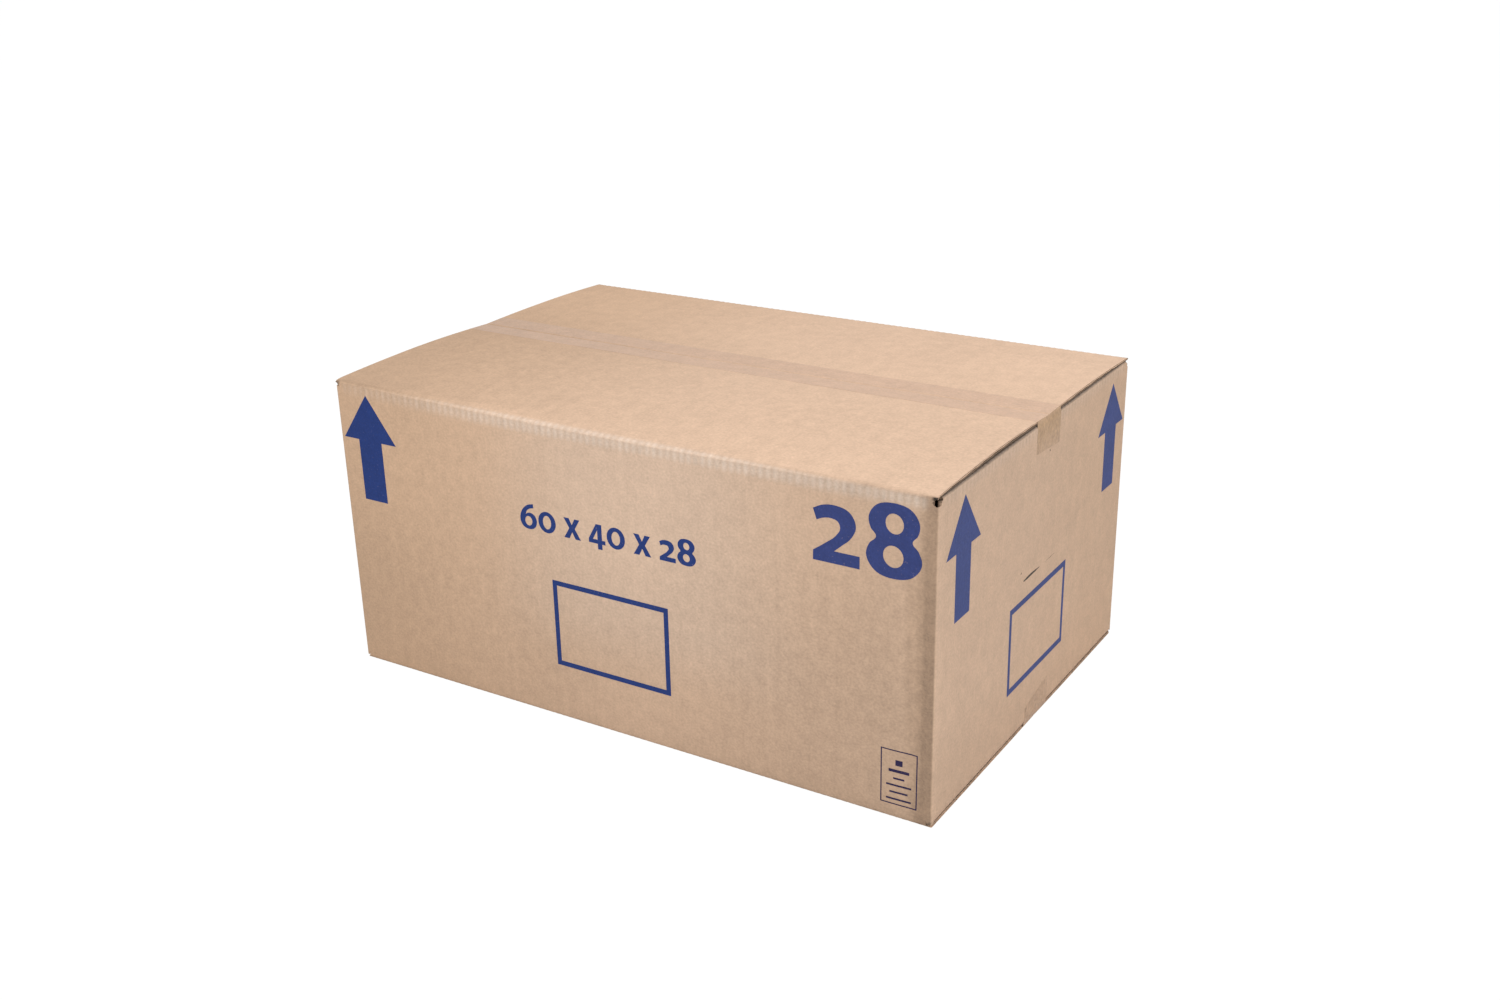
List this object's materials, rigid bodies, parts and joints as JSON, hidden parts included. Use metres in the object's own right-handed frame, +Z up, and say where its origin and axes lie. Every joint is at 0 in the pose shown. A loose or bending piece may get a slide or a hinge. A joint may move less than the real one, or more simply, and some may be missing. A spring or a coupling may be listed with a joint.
{
  "type": "closed cardboard box",
  "caption": "Closed corrugated carton with folded flaps, taped along its top and bottom seams, for packing, moving and storage.",
  "frame": {"origin": "middle of the underside, on the surface that the carton stands on", "axes": "+X along the long side, +Y from the front to the rear, +Z up"},
  "size_m": [0.6004, 0.4, 0.2828],
  "materials": {
    "board": "matt brown liner",
    "tape": "thin hazy tan film",
    "ink": "matt blue printing ink"
  },
  "bodies": {
    "root": {"carton": "board", "top_tape": "tape", "bottom_tape": "tape"}
  },
  "joints": []
}
